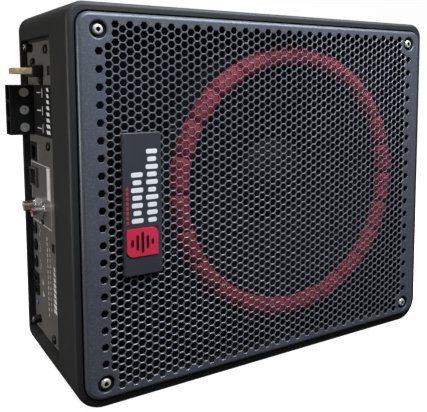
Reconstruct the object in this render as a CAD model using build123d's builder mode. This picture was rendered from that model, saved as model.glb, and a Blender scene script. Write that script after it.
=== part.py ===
from build123d import *
import math
import os

os.makedirs("parts", exist_ok=True)

# Powered car subwoofer. Millimetres. +Z is up, the grille faces -Y, the amplifier panel faces -X.
# The origin is the centre of the face that the box rests on.

# ---- driving dimensions ----
WIDTH = 334.0
HEIGHT = 282.0
DEPTH = 132.0
TOP_CORNER_R = 12.0
LOW_CORNER_R = 20.0
WALL = 4.0
MID_Z = HEIGHT / 2
FRONT_Y = -DEPTH / 2
REAR_Y = DEPTH / 2
LEFT_X = -WIDTH / 2

COVER_T = 3.0
GASKET_T = 1.0
SHELL_REAR_Y = REAR_Y - COVER_T - GASKET_T
RIM_W = 12.0
RIM_T = 8.0
RIM_MOUTH_R = 5.0
COVER_SCREW_EDGE = 7.0

# front recess and baffle
RECESS_W = 324.2
RECESS_H = 270.3
RECESS_TOP_R = 10.0
RECESS_LOW_R = 15.0
BAFFLE_Y = -50.0
BAFFLE_T = 14.0

# grille
GRILLE_W = 322.0
GRILLE_H = 268.0
GRILLE_PROUD = 3.3
GRILLE_Y = FRONT_Y - GRILLE_PROUD
GRILLE_T = 1.2
GRILLE_TOP_R = 9.0
GRILLE_LOW_R = 13.0
GRILLE_BEND_R = 3.0
GRILLE_SKIRT = 11.0
PITCH = 6.0
HEX_FLATS = 5.0
COLUMN_STEP = PITCH * math.sqrt(3) / 2
EDGE_COLUMN_X = 146.8
GRILLE_SCREW_Z = 122.4
DIMPLE_R = 5.2
DIMPLE_DEPTH = 2.2
DIMPLE_WALL_R = DIMPLE_R + GRILLE_T
GRILLE_POST_R = 6.0

# badge
BADGE_X = -118.5
BADGE_Z = MID_Z + 2.4
BADGE_W = 29.0
BADGE_H = 101.0
BADGE_T = 2.6
BADGE_PEG_X = -23 * COLUMN_STEP
BADGE_PEG_Z = 39.0
BADGE_PEG_R = 1.5
EMBLEM_X = -119.3
EMBLEM_Z = MID_Z - 24.4
EMBLEM_W = 23.6
EMBLEM_H = 20.0
EMBLEM_SUNK = 0.4

# woofer, turned about an axis along Y
WOOFER_X = 28.0
WOOFER_Z = MID_Z + 2.0
SEAT_Y = -43.0
FLANGE_R = 127.0
WOOFER_SCREW_R = 122.5
WOOFER_SCREWS = 8

# side pocket and amplifier panel
POCKET_DEPTH = 5.0
PANEL_T = 1.5
PANEL_X = LEFT_X + POCKET_DEPTH
PANEL_BACK_X = PANEL_X + PANEL_T
POCKET_FLOOR_X = -156.0
POCKET_FRONT_Y = -25.0
PANEL_FRONT_Y = -10.0
POCKET_REAR_Y = 60.5
POCKET_LOW_Z = 22.0
POCKET_HIGH_Z = 262.0
PANEL_REAR_Y = 60.0
PANEL_LOW_Z = 22.5
PANEL_HIGH_Z = 259.5
WINDOW_Y = (8.0, 58.5)
WINDOW_Z = (38.0, 250.5)
FRONT_SCREW_Y = 2.8
FRONT_SCREW_Z = (28.5, 180.0, 253.0)
STANDOFF_Y = 45.0
STANDOFF_Z = (32.0, 255.5)
STANDOFF_REACH = POCKET_DEPTH + 0.5

# controls and connectors on the panel: centre positions as (Y, Z)
KNOB_SPOTS = ((51.0, 108.0), (51.0, 93.8), (51.0, 79.6))
SWITCH_SPOTS = ((52.0, 66.0), (52.0, 56.0))
LED_SPOT = (51.0, 45.0)
JACK_SPOTS = ((47.5, 128.0), (19.5, 128.0))
JACK_BODY_SPOT = (33.5, 125.2)
BRACKET_SCREW_SPOT = (27.0, 117.5)
PLUG_SPOT = (47.5, 151.5)
PORT_SPOT = (48.0, 172.5)
BLOCK_SPOT = (50.75, 206.5)
BLOCK_POLE_STEP = 14.0
FUSE_SPOT = (23.5, 237.0)
FUSE_SCREW_SPOTS = ((39.5, 244.4), (17.0, 229.7))

# rotary controls and slide switches
SHAFT_R = 2.0
POT_FRONT_X = -157.5
POT_W = 12.0
POT_H = 11.0
POT_T = 9.0
KNOB_R = 4.6
KNOB_HOLE_R = 5.3
KNOB_BACK_X = -158.0
KNOB_T = 5.2
LEVER_TRAVEL = 4.0
SWITCH_SLOT_W = 12.0
SWITCH_SLOT_H = 5.4
SWITCH_BODY_W = 12.6
SWITCH_BODY_H = 8.4
SWITCH_BODY_T = 8.0
SWITCH_BEZEL_W = 15.4
SWITCH_BEZEL_H = 8.8
SWITCH_BEZEL_T = 1.2
LEVER_SLOT_W = 9.4
LEVER_SLOT_H = 3.4
LEVER_H = 3.2

# connectors
JACK_R = 4.15
JACK_BORE_R = 3.7
JACK_NUT_R = 6.2
JACK_REACH = 10.3
LED_R = 2.5
PLUG_HOLE = (20.4, 16.4)
PORT_HOLE = (18.4, 15.4)
PORT_W = 18.0
PORT_H = 15.0
PORT_MOUTH = (12.4, 9.0)
BLOCK_HOLE = (14.4, 37.4)
FUSE_HOLE = (18.4, 7.4)

# circuit board
BOARD_Y = 40.0
BOARD_T = 1.6
BOARD_X = (-152.0, -60.0)
BOARD_Z = (34.0, 250.0)
BOARD_POST_X = (-138.0, -68.0)
BOARD_POST_Z = (52.0, 228.0)


def front(y):
    """Plane at depth y that looks out of the front: local x is X, local y is Z."""
    return Plane(origin=(0, y, 0), x_dir=(1, 0, 0), z_dir=(0, -1, 0))


def side(x):
    """Plane at x that looks along +X: local x is Y, local y is Z."""
    return Plane(origin=(x, 0, 0), x_dir=(0, 1, 0), z_dir=(1, 0, 0))


def level(z):
    """Plane at height z that looks up: local x is X, local y is Y."""
    return Plane.XY.offset(z)


def box_outline(width, height, top_r, low_r):
    """Adds the box's outline to the open front-plane sketch; its lower corners are rounder."""
    with Locations((0, MID_Z)):
        Rectangle(width, height)
    fillet(vertices().group_by(Axis.Y)[-1], top_r)
    fillet(vertices().group_by(Axis.Y)[0], low_r)


def keep(part, name):
    """Label a finished piece and write its file."""
    part.label = name
    export_step(part, f"parts/{name}.step")


def polar_spots(radius, count, start):
    """Points on a circle round the woofer's axis, in front-plane coordinates."""
    step = 2 * math.pi / count
    first = math.radians(start)
    return [
        (WOOFER_X + radius * math.cos(first + k * step), WOOFER_Z + radius * math.sin(first + k * step))
        for k in range(count)
    ]


def pan_screws(plane, spots, head_r, head_h, shank_r, shank_l, drive_r):
    """Pan-head screws with a hexagon drive; the heads stand on the plane's outer side."""
    with BuildPart() as screws:
        with BuildSketch(plane):
            with Locations(*spots):
                Circle(head_r)
        extrude(amount=head_h)
        top = screws.edges().filter_by(GeomType.CIRCLE).group_by(Axis(plane.origin, plane.z_dir))[-1]
        fillet(top, head_h * 0.45)
        with BuildSketch(plane):
            with Locations(*spots):
                Circle(shank_r)
        extrude(amount=-shank_l)
        with BuildSketch(plane.offset(head_h)):
            with Locations(*spots):
                RegularPolygon(drive_r, 6, major_radius=False)
        extrude(amount=-head_h * 0.7, mode=Mode.SUBTRACT)
    return screws.part


# Radial profiles are drawn as (radius, Y) on this plane and turned about the woofer's axis.
WOOFER_PLANE = Plane(origin=(WOOFER_X, 0, WOOFER_Z), x_dir=(1, 0, 0), z_dir=(0, 0, 1))
WOOFER_AXIS = Axis((WOOFER_X, 0, WOOFER_Z), (0, 1, 0))


def turned(points):
    """Solid of revolution from a closed radial outline of straight sides."""
    with BuildPart() as body:
        with BuildSketch(WOOFER_PLANE):
            with BuildLine():
                Polyline(*points, close=True)
            make_face()
        revolve(axis=WOOFER_AXIS)
    return body.part


GRILLE_SCREW_SPOTS = [
    (sx * EDGE_COLUMN_X, MID_Z + sz * GRILLE_SCREW_Z) for sx in (-1, 1) for sz in (-1, 1)
]
COVER_SCREW_SPOTS = [
    (x, z) for x in (-150, -50, 50, 150) for z in (COVER_SCREW_EDGE, HEIGHT - COVER_SCREW_EDGE)
] + [(-LEFT_X - COVER_SCREW_EDGE, MID_Z)]
WOOFER_SCREW_SPOTS = polar_spots(WOOFER_SCREW_R, WOOFER_SCREWS, 22.5)
MOUNT_SPOTS = [(sx * 130, MID_Z + sz * 100) for sx in (-1, 1) for sz in (-1, 1)]
BADGE_PEGS = [(BADGE_PEG_X, MID_Z + s * BADGE_PEG_Z) for s in (-1, 1)]
PANEL_SCREW_SPOTS = [(FRONT_SCREW_Y, z) for z in FRONT_SCREW_Z]
STANDOFF_SPOTS = [(STANDOFF_Y, z) for z in STANDOFF_Z]

# ---- enclosure shell: outer walls, front rim, baffle, side pocket, rear rim ----
with BuildPart() as enclosure_shell:
    with BuildSketch(front(FRONT_Y)):
        box_outline(WIDTH, HEIGHT, TOP_CORNER_R, LOW_CORNER_R)
    extrude(amount=-(SHELL_REAR_Y - FRONT_Y))
    fillet(enclosure_shell.edges().group_by(Axis.Y)[0], 3.0)
    # front recess for the grille
    with BuildSketch(front(FRONT_Y)):
        box_outline(RECESS_W, RECESS_H, RECESS_TOP_R, RECESS_LOW_R)
    extrude(amount=-(BAFFLE_Y - FRONT_Y), mode=Mode.SUBTRACT)
    # rear cavity, with a narrower mouth that leaves a rim for the cover
    with BuildSketch(front(BAFFLE_Y + BAFFLE_T)):
        box_outline(WIDTH - 2 * WALL, HEIGHT - 2 * WALL, TOP_CORNER_R - WALL, LOW_CORNER_R - WALL)
    extrude(amount=-(SHELL_REAR_Y - RIM_T - BAFFLE_Y - BAFFLE_T), mode=Mode.SUBTRACT)
    with BuildSketch(front(SHELL_REAR_Y - RIM_T)):
        with Locations((0, MID_Z)):
            RectangleRounded(WIDTH - 2 * RIM_W, HEIGHT - 2 * RIM_W, RIM_MOUTH_R)
    extrude(amount=-RIM_T, mode=Mode.SUBTRACT)
    # woofer opening and seat
    with BuildSketch(front(BAFFLE_Y)):
        with Locations((WOOFER_X, WOOFER_Z)):
            Circle(FLANGE_R + 0.6)
    extrude(amount=-(SEAT_Y - BAFFLE_Y), mode=Mode.SUBTRACT)
    with BuildSketch(front(SEAT_Y)):
        with Locations((WOOFER_X, WOOFER_Z)):
            Circle(117)
        with Locations(*WOOFER_SCREW_SPOTS):
            Circle(2.5)
    extrude(amount=-(BAFFLE_Y + BAFFLE_T - SEAT_Y), mode=Mode.SUBTRACT)
    # posts that carry the grille at its corners
    with BuildSketch(front(BAFFLE_Y)):
        with Locations(*GRILLE_SCREW_SPOTS):
            Circle(GRILLE_POST_R)
    extrude(amount=BAFFLE_Y - (GRILLE_Y + DIMPLE_DEPTH + GRILLE_T))
    with BuildSketch(front(FRONT_Y - 1)):
        with Locations(*GRILLE_SCREW_SPOTS):
            Circle(2.0)
    extrude(amount=-14, mode=Mode.SUBTRACT)
    # thick floor behind the side pocket
    with BuildSketch(side(LEFT_X + WALL - 0.5)):
        with Locations(((POCKET_FRONT_Y + SHELL_REAR_Y) / 2, (POCKET_LOW_Z + POCKET_HIGH_Z) / 2)):
            Rectangle(SHELL_REAR_Y - POCKET_FRONT_Y + 8, POCKET_HIGH_Z - POCKET_LOW_Z + 12)
    extrude(amount=POCKET_FLOOR_X - (LEFT_X + WALL - 0.5))
    split(bisect_by=front(SHELL_REAR_Y), keep=Keep.TOP)
    # the pocket, its sloping front wall and the window in its floor
    with BuildSketch(level(POCKET_LOW_Z)):
        with BuildLine():
            Polyline(
                (LEFT_X - 1, POCKET_FRONT_Y - 2),
                (LEFT_X, POCKET_FRONT_Y),
                (PANEL_X, PANEL_FRONT_Y - 1),
                (PANEL_BACK_X, PANEL_FRONT_Y - 1),
                (PANEL_BACK_X, POCKET_REAR_Y),
                (LEFT_X - 1, POCKET_REAR_Y),
                close=True,
            )
        make_face()
    extrude(amount=POCKET_HIGH_Z - POCKET_LOW_Z, mode=Mode.SUBTRACT)
    with BuildSketch(side(PANEL_BACK_X - 1)):
        with Locations((sum(WINDOW_Y) / 2, sum(WINDOW_Z) / 2)):
            RectangleRounded(WINDOW_Y[1] - WINDOW_Y[0], WINDOW_Z[1] - WINDOW_Z[0], 3)
    extrude(amount=12, mode=Mode.SUBTRACT)
    with BuildSketch(side(PANEL_BACK_X)):
        with Locations(*PANEL_SCREW_SPOTS, *STANDOFF_SPOTS):
            Circle(2.0)
    extrude(amount=12, mode=Mode.SUBTRACT)
    # pilot holes for the cover screws
    with BuildSketch(front(SHELL_REAR_Y)):
        with Locations(*COVER_SCREW_SPOTS):
            Circle(2.0)
    extrude(amount=RIM_T, mode=Mode.SUBTRACT)
keep(enclosure_shell.part, "enclosure_shell")

# ---- rear cover, its seal, screws and brass inserts ----
with BuildPart() as rear_cover:
    with BuildSketch(front(REAR_Y - COVER_T)):
        box_outline(WIDTH, HEIGHT, TOP_CORNER_R, LOW_CORNER_R)
    extrude(amount=-COVER_T)
    fillet(rear_cover.edges().group_by(Axis.Y)[-1], 1.2)
    with BuildSketch(front(REAR_Y - COVER_T)):
        with Locations(*MOUNT_SPOTS):
            Circle(6)
    extrude(amount=8)
    with BuildSketch(front(REAR_Y + 1)):
        with Locations(*COVER_SCREW_SPOTS):
            Circle(2.3)
    extrude(amount=6, mode=Mode.SUBTRACT)
    with BuildSketch(front(REAR_Y)):
        with Locations(*MOUNT_SPOTS):
            Circle(3.5)
    extrude(amount=8, mode=Mode.SUBTRACT)
    # shallow cooling grooves
    with BuildSketch(front(REAR_Y)):
        with Locations((0, MID_Z)):
            with GridLocations(12, 1, 17, 1):
                SlotOverall(180, 6, rotation=90)
    extrude(amount=1.2, mode=Mode.SUBTRACT)
keep(rear_cover.part, "rear_cover")

with BuildPart() as rear_gasket:
    with BuildSketch(front(SHELL_REAR_Y)):
        box_outline(WIDTH - 1.6, HEIGHT - 1.6, TOP_CORNER_R - 0.8, LOW_CORNER_R - 0.8)
        with Locations((0, MID_Z)):
            RectangleRounded(WIDTH - 2 * RIM_W, HEIGHT - 2 * RIM_W, RIM_MOUTH_R, mode=Mode.SUBTRACT)
        with Locations(*COVER_SCREW_SPOTS):
            Circle(2.3, mode=Mode.SUBTRACT)
    extrude(amount=-GASKET_T)
keep(rear_gasket.part, "rear_gasket")

REAR_FACE = Plane(origin=(0, REAR_Y, 0), x_dir=(-1, 0, 0), z_dir=(0, 1, 0))
keep(
    pan_screws(REAR_FACE, [(-x, z) for x, z in COVER_SCREW_SPOTS], 3.8, 2.2, 1.9, 10.5, 1.5),
    "rear_cover_screws",
)

with BuildPart() as mount_inserts:
    with BuildSketch(front(REAR_Y - 0.2)):
        with Locations(*MOUNT_SPOTS):
            Circle(3.5)
            Circle(2.1, mode=Mode.SUBTRACT)
    extrude(amount=7.8)
keep(mount_inserts.part, "mount_inserts")

# ---- grille: bent-edge tray on the corner posts, with its screws ----
with BuildPart() as grille:
    with BuildSketch(front(GRILLE_Y)):
        box_outline(GRILLE_W, GRILLE_H, GRILLE_TOP_R, GRILLE_LOW_R)
    extrude(amount=-GRILLE_SKIRT)
    fillet(grille.edges().group_by(Axis.Y)[0], GRILLE_BEND_R)
    with BuildSketch(front(GRILLE_Y + GRILLE_T)):
        box_outline(
            GRILLE_W - 2 * GRILLE_T, GRILLE_H - 2 * GRILLE_T, GRILLE_TOP_R - GRILLE_T, GRILLE_LOW_R - GRILLE_T
        )
        with Locations(*GRILLE_SCREW_SPOTS):
            Circle(DIMPLE_WALL_R, mode=Mode.SUBTRACT)
    extrude(amount=-GRILLE_SKIRT, mode=Mode.SUBTRACT)
    with BuildSketch(front(GRILLE_Y + GRILLE_T + DIMPLE_DEPTH)):
        with Locations(*GRILLE_SCREW_SPOTS):
            Circle(DIMPLE_WALL_R + 1)
    extrude(amount=-GRILLE_SKIRT, mode=Mode.SUBTRACT)
    with BuildSketch(front(GRILLE_Y)):
        with Locations(*GRILLE_SCREW_SPOTS):
            Circle(DIMPLE_R)
    extrude(amount=-DIMPLE_DEPTH, mode=Mode.SUBTRACT)
    with BuildSketch(front(GRILLE_Y)):
        with Locations(*GRILLE_SCREW_SPOTS):
            Circle(2.2)
        with Locations(*BADGE_PEGS):
            RegularPolygon(HEX_FLATS / 2, 6, major_radius=False)
    extrude(amount=-6, mode=Mode.SUBTRACT)
keep(grille.part, "grille")
keep(
    pan_screws(front(GRILLE_Y + DIMPLE_DEPTH), GRILLE_SCREW_SPOTS, 3.6, 2.1, 1.9, 11, 1.4),
    "grille_screws",
)

# ---- badge: a plate with two pegs, an emblem tile and two push nuts ----
with BuildPart() as badge_plate:
    with BuildSketch(front(GRILLE_Y)):
        with Locations((BADGE_X, BADGE_Z)):
            RectangleRounded(BADGE_W, BADGE_H, 1.5)
    extrude(amount=BADGE_T)
    fillet(badge_plate.edges().group_by(Axis.Y)[0], 0.8)
    with BuildSketch(front(GRILLE_Y - BADGE_T)):
        with Locations((EMBLEM_X, EMBLEM_Z)):
            Rectangle(EMBLEM_W + 0.4, EMBLEM_H + 0.4)
    extrude(amount=-EMBLEM_SUNK, mode=Mode.SUBTRACT)
    with BuildSketch(front(GRILLE_Y)):
        with Locations(*BADGE_PEGS):
            Circle(BADGE_PEG_R)
    extrude(amount=-4)
keep(badge_plate.part, "badge_plate")

with BuildPart() as badge_emblem:
    with BuildSketch(front(GRILLE_Y - BADGE_T + EMBLEM_SUNK)):
        with Locations((EMBLEM_X, EMBLEM_Z)):
            Rectangle(EMBLEM_W, EMBLEM_H)
    extrude(amount=1.0)
    corners = badge_emblem.edges().filter_by(Axis.Y).sort_by(lambda e: e.center().X + e.center().Z)
    fillet([corners[0], corners[-1]], 5)
keep(badge_emblem.part, "badge_emblem")

with BuildPart() as badge_push_nuts:
    with BuildSketch(front(GRILLE_Y + GRILLE_T)):
        with Locations(*BADGE_PEGS):
            Circle(3 * BADGE_PEG_R)
            Circle(BADGE_PEG_R + 0.05, mode=Mode.SUBTRACT)
    extrude(amount=-1.0)
keep(badge_push_nuts.part, "badge_push_nuts")

# ---- woofer: basket, seal, trim ring and screws ----
with BuildPart() as basket:
    add(
        turned(
            [
                (127, -47),
                (127, -44.5),
                (116, -44.5),
                (113.5, -33),
                (72, 3.5),
                (62.5, 3.5),
                (62.5, 12),
                (28, 12),
                (28, 9.5),
                (60, 9.5),
                (60, 1),
                (70.5, 1),
                (110.9, -34.2),
                (113, -45.5),
                (113, -47),
            ]
        )
    )
    with BuildSketch(front(-40)):
        with Locations((WOOFER_X, WOOFER_Z)):
            Circle(106)
            Circle(78, mode=Mode.SUBTRACT)
            with PolarLocations(0, 3):
                Rectangle(220, 15, mode=Mode.SUBTRACT)
        fillet(vertices(), 4)
    extrude(amount=-41, mode=Mode.SUBTRACT)
    with BuildSketch(front(-48)):
        with Locations(*WOOFER_SCREW_SPOTS):
            Circle(2.6)
    extrude(amount=-5, mode=Mode.SUBTRACT)
keep(basket.part, "basket")

with BuildPart() as woofer_gasket:
    with BuildSketch(front(-44.5)):
        with Locations((WOOFER_X, WOOFER_Z)):
            Circle(126)
            Circle(118.5, mode=Mode.SUBTRACT)
        with Locations(*WOOFER_SCREW_SPOTS):
            Circle(2.6, mode=Mode.SUBTRACT)
    extrude(amount=-1.5)
keep(woofer_gasket.part, "woofer_gasket")

with BuildPart() as woofer_trim_ring:
    with BuildSketch(front(-47)):
        with Locations((WOOFER_X, WOOFER_Z)):
            Circle(126.8)
            Circle(116, mode=Mode.SUBTRACT)
        with Locations(*WOOFER_SCREW_SPOTS):
            Circle(2.6, mode=Mode.SUBTRACT)
    extrude(amount=3)
    fillet(woofer_trim_ring.edges().group_by(Axis.Y)[0].sort_by(SortBy.LENGTH)[-2:], 0.6)
    # step that clamps the surround's outer edge
    with BuildSketch(front(-47)):
        with Locations((WOOFER_X, WOOFER_Z)):
            Circle(118.2)
    extrude(amount=2, mode=Mode.SUBTRACT)
keep(woofer_trim_ring.part, "woofer_trim_ring")
keep(pan_screws(front(-50), WOOFER_SCREW_SPOTS, 4.2, 2.4, 2.3, 13, 1.6), "woofer_screws")

# ---- woofer: moving parts and their suspension ----
with BuildPart() as surround:
    with BuildSketch(WOOFER_PLANE):
        with BuildLine():
            Line((96.5, -48), (96.5, -49))
            Line((96.5, -49), (99.9, -49))
            ThreePointArc((99.9, -49), (107.7, -57.5), (115.5, -49))
            Line((115.5, -49), (118, -49))
            Line((118, -49), (118, -47))
            Line((118, -47), (114.5, -47))
            Line((114.5, -47), (114.5, -48.5))
            ThreePointArc((114.5, -48.5), (107.7, -56.3), (100.9, -48.5))
            Line((100.9, -48.5), (100.9, -48))
            Line((100.9, -48), (96.5, -48))
        make_face()
    revolve(axis=WOOFER_AXIS)
keep(surround.part, "surround")

keep(
    turned(
        [(101, -48), (95, -48), (27, -14), (25.5, -14), (25.5, -11.5), (27.6, -11.5), (95.5, -46.6), (101, -46.6)]
    ),
    "cone",
)

CAP_R = 60.9
CAP_CENTRE_Y = 29.6
CAP_ANGLE = 36.5
cap_turn = math.radians(CAP_ANGLE)
with BuildPart() as dust_cap:
    with BuildSketch(WOOFER_PLANE):
        with BuildLine():
            CenterArc((0, CAP_CENTRE_Y), CAP_R, -90, CAP_ANGLE)
            CenterArc((0, CAP_CENTRE_Y), CAP_R - 1, -90, CAP_ANGLE)
            Line((0, CAP_CENTRE_Y - CAP_R), (0, CAP_CENTRE_Y - CAP_R + 1))
            Line(
                (CAP_R * math.sin(cap_turn), CAP_CENTRE_Y - CAP_R * math.cos(cap_turn)),
                ((CAP_R - 1) * math.sin(cap_turn), CAP_CENTRE_Y - (CAP_R - 1) * math.cos(cap_turn)),
            )
        make_face()
    revolve(axis=WOOFER_AXIS)
keep(dust_cap.part, "dust_cap")
keep(turned([(25, -17), (25.5, -17), (25.5, 28), (25, 28)]), "voice_coil_former")
keep(turned([(25.5, 6), (26.3, 6), (26.3, 26), (25.5, 26)]), "voice_coil")

SPIDER_WAVES = 4
SPIDER_IN_R = 29.0
SPIDER_OUT_R = 58.0
spider_step = (SPIDER_OUT_R - SPIDER_IN_R) / (2 * SPIDER_WAVES)
wave_top = [(25.5, 0.2), (SPIDER_IN_R, 0.2)]
wave_low = [(25.5, 1.0), (SPIDER_IN_R, 1.0)]
for wave in range(2 * SPIDER_WAVES):
    swing = 1.8 if wave % 2 else -1.8
    wave_r = SPIDER_IN_R + (wave + 0.5) * spider_step
    wave_top.append((wave_r, 0.2 + swing))
    wave_low.append((wave_r, 1.0 + swing))
wave_top += [(SPIDER_OUT_R, 0.2), (66, 0.2)]
wave_low += [(SPIDER_OUT_R, 1.0), (66, 1.0)]
keep(turned(wave_top + wave_low[::-1]), "spider")

# ---- woofer: motor ----
keep(turned([(27.3, 12), (62, 12), (62, 20), (27.3, 20)]), "top_plate")
keep(turned([(34, 20), (70, 20), (70, 40), (34, 40)]), "magnet")
keep(
    turned([(6, 10), (24.2, 10), (24.2, 36), (28, 40), (65, 40), (65, 44), (60, 47), (10, 47), (6, 44)]),
    "pole_piece",
)

# ---- woofer: terminals and leads ----
with BuildPart() as terminal_tab:
    with BuildSketch(Plane(WOOFER_PLANE.origin - Vector(0, 0, 9), x_dir=(-1, 0, 0), z_dir=(0, 0, -1))):
        with BuildLine():
            Polyline((84, -6.9), (98, -19.2), (98, -8), (92, -1), (84, -1), close=True)
        make_face()
    extrude(amount=-18)
keep(terminal_tab.part, "terminal_tab")

LUG_X = WOOFER_X - 89
LUG_STEP = 18.0
with BuildPart() as terminal_lugs:
    for lug_side in (-1, 1):
        with BuildSketch(front(-8)):
            with Locations((LUG_X, WOOFER_Z + lug_side * 15)):
                Rectangle(4.8, 12)
        extrude(amount=-0.8)
keep(terminal_lugs.part, "terminal_lugs")

with BuildPart() as tinsel_leads:
    for lead_side in (-1, 1):
        lead_z = WOOFER_Z + lead_side * LUG_STEP
        with BuildLine() as lead_path:
            Spline((WOOFER_X - 62, -28.5, lead_z), (WOOFER_X - 80, -26.0, lead_z), (LUG_X - 2, -8.9, lead_z))
        with BuildSketch(Plane(lead_path.line @ 0, z_dir=lead_path.line % 0)):
            Circle(0.8)
        sweep(path=lead_path.line)
keep(tinsel_leads.part, "tinsel_leads")


# ---- control panel with its standoffs and screws ----
with BuildPart() as control_panel:
    with BuildSketch(side(PANEL_X)):
        with Locations(((PANEL_FRONT_Y + PANEL_REAR_Y) / 2, (PANEL_LOW_Z + PANEL_HIGH_Z) / 2)):
            RectangleRounded(PANEL_REAR_Y - PANEL_FRONT_Y, PANEL_HIGH_Z - PANEL_LOW_Z, 2)
        with Locations(*PANEL_SCREW_SPOTS, *STANDOFF_SPOTS):
            Circle(2.2, mode=Mode.SUBTRACT)
        with Locations(*KNOB_SPOTS):
            Circle(KNOB_HOLE_R, mode=Mode.SUBTRACT)
        with Locations(*SWITCH_SPOTS):
            Rectangle(SWITCH_SLOT_W, SWITCH_SLOT_H, mode=Mode.SUBTRACT)
        with Locations(LED_SPOT):
            Circle(LED_R + 0.1, mode=Mode.SUBTRACT)
        with Locations(*JACK_SPOTS):
            Circle(JACK_R + 0.85, mode=Mode.SUBTRACT)
        with Locations(BRACKET_SCREW_SPOT):
            Circle(1.6, mode=Mode.SUBTRACT)
        with Locations(PLUG_SPOT):
            Rectangle(*PLUG_HOLE, mode=Mode.SUBTRACT)
        with Locations(PORT_SPOT):
            Rectangle(*PORT_HOLE, mode=Mode.SUBTRACT)
        with Locations(BLOCK_SPOT):
            Rectangle(*BLOCK_HOLE, mode=Mode.SUBTRACT)
        with Locations(FUSE_SPOT):
            Rectangle(*FUSE_HOLE, mode=Mode.SUBTRACT)
        with Locations(*FUSE_SCREW_SPOTS):
            Circle(1.4, mode=Mode.SUBTRACT)
    extrude(amount=PANEL_T)
keep(control_panel.part, "control_panel")

with BuildPart() as panel_standoffs:
    with BuildSketch(side(PANEL_X)):
        with Locations(*STANDOFF_SPOTS):
            Circle(3.4)
            Circle(2.1, mode=Mode.SUBTRACT)
    extrude(amount=-STANDOFF_REACH)
    fillet(panel_standoffs.edges().group_by(Axis.X)[0].group_by(SortBy.LENGTH)[-1], 0.6)
keep(panel_standoffs.part, "panel_standoffs")


def outward(x):
    """Plane at x that looks out of the left side: local x is -Y, local y is Z."""
    return Plane(origin=(x, 0, 0), x_dir=(0, -1, 0), z_dir=(-1, 0, 0))


def outward_spots(spots):
    """Panel positions (Y, Z) in an outward plane's own coordinates."""
    return [(-y, z) for y, z in spots]


keep(pan_screws(outward(PANEL_X), outward_spots(PANEL_SCREW_SPOTS), 3.5, 1.8, 1.9, 5.5, 1.3), "panel_screws")
keep(
    pan_screws(outward(PANEL_X - STANDOFF_REACH), outward_spots(STANDOFF_SPOTS), 2.8, 1.4, 1.9, 11, 1.2),
    "standoff_screws",
)

# ---- phono jacks: barrels with nuts, coloured insulators, a shared body behind the panel ----
with BuildPart() as jack_barrels:
    with BuildSketch(outward(PANEL_X)):
        with Locations(*outward_spots(JACK_SPOTS)):
            RegularPolygon(JACK_NUT_R, 6, major_radius=False)
            Circle(JACK_BORE_R, mode=Mode.SUBTRACT)
    extrude(amount=1.8)
    with BuildSketch(outward(PANEL_BACK_X)):
        with Locations(*outward_spots(JACK_SPOTS)):
            Circle(JACK_R)
            Circle(JACK_BORE_R, mode=Mode.SUBTRACT)
    extrude(amount=PANEL_T + JACK_REACH)
keep(jack_barrels.part, "jack_barrels")

for jack_name, jack_spot in zip(("jack_insulator_white", "jack_insulator_red"), JACK_SPOTS):
    with BuildPart() as insulator:
        with BuildSketch(outward(PANEL_BACK_X)):
            with Locations(*outward_spots([jack_spot])):
                Circle(JACK_BORE_R)
                Circle(1.7, mode=Mode.SUBTRACT)
        extrude(amount=PANEL_T + JACK_REACH - 0.4)
    keep(insulator.part, jack_name)

with BuildPart() as jack_body:
    with BuildSketch(side(PANEL_BACK_X)):
        with Locations(JACK_BODY_SPOT):
            RectangleRounded(43, 21.5, 1)
        with Locations(BRACKET_SCREW_SPOT):
            Circle(1.2, mode=Mode.SUBTRACT)
    extrude(amount=12.5)
    fillet(jack_body.edges().group_by(Axis.X)[-1], 0.8)
keep(jack_body.part, "jack_body")

# ---- rotary controls: bodies with shafts, and one knob for each ----
with BuildPart() as potentiometers:
    with BuildSketch(side(POT_FRONT_X)):
        with Locations(*KNOB_SPOTS):
            RectangleRounded(POT_W, POT_H, 1)
    extrude(amount=POT_T)
    with BuildSketch(outward(POT_FRONT_X)):
        with Locations(*outward_spots(KNOB_SPOTS)):
            Circle(SHAFT_R)
    extrude(amount=3.5)
keep(potentiometers.part, "potentiometers")

for knob_name, (knob_y, knob_z) in zip(("knob_level", "knob_crossover", "knob_bass"), KNOB_SPOTS):
    with BuildPart() as knob:
        with BuildSketch(outward(KNOB_BACK_X)):
            with Locations((-knob_y, knob_z)):
                Circle(KNOB_R)
                with PolarLocations(KNOB_R + 0.15, 14):
                    Circle(0.45, mode=Mode.SUBTRACT)
        extrude(amount=KNOB_T)
        with BuildSketch(outward(KNOB_BACK_X)):
            with Locations((-knob_y, knob_z)):
                Circle(SHAFT_R + 0.05)
        extrude(amount=3.2, mode=Mode.SUBTRACT)
        with BuildSketch(outward(KNOB_BACK_X - KNOB_T)):
            with Locations((-knob_y, knob_z + 1.4)):
                Rectangle(1.0, 5.2)
        extrude(amount=-0.9, mode=Mode.SUBTRACT)
    keep(knob.part, knob_name)

# ---- slide switches ----
with BuildPart() as switch_bodies:
    with BuildSketch(side(PANEL_BACK_X)):
        with Locations(*SWITCH_SPOTS):
            RectangleRounded(SWITCH_BODY_W, SWITCH_BODY_H, 0.8)
    extrude(amount=SWITCH_BODY_T)
    with BuildSketch(outward(PANEL_BACK_X)):
        with Locations(*outward_spots(SWITCH_SPOTS)):
            Rectangle(SWITCH_SLOT_W - 0.4, SWITCH_SLOT_H - 0.4)
    extrude(amount=PANEL_T)
    with BuildSketch(outward(PANEL_X)):
        with Locations(*outward_spots(SWITCH_SPOTS)):
            RectangleRounded(SWITCH_BEZEL_W, SWITCH_BEZEL_H, 1.2)
    extrude(amount=SWITCH_BEZEL_T)
    with BuildSketch(outward(PANEL_X - SWITCH_BEZEL_T)):
        with Locations(*outward_spots(SWITCH_SPOTS)):
            Rectangle(LEVER_SLOT_W, LEVER_SLOT_H)
    extrude(amount=-5.2, mode=Mode.SUBTRACT)
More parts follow.
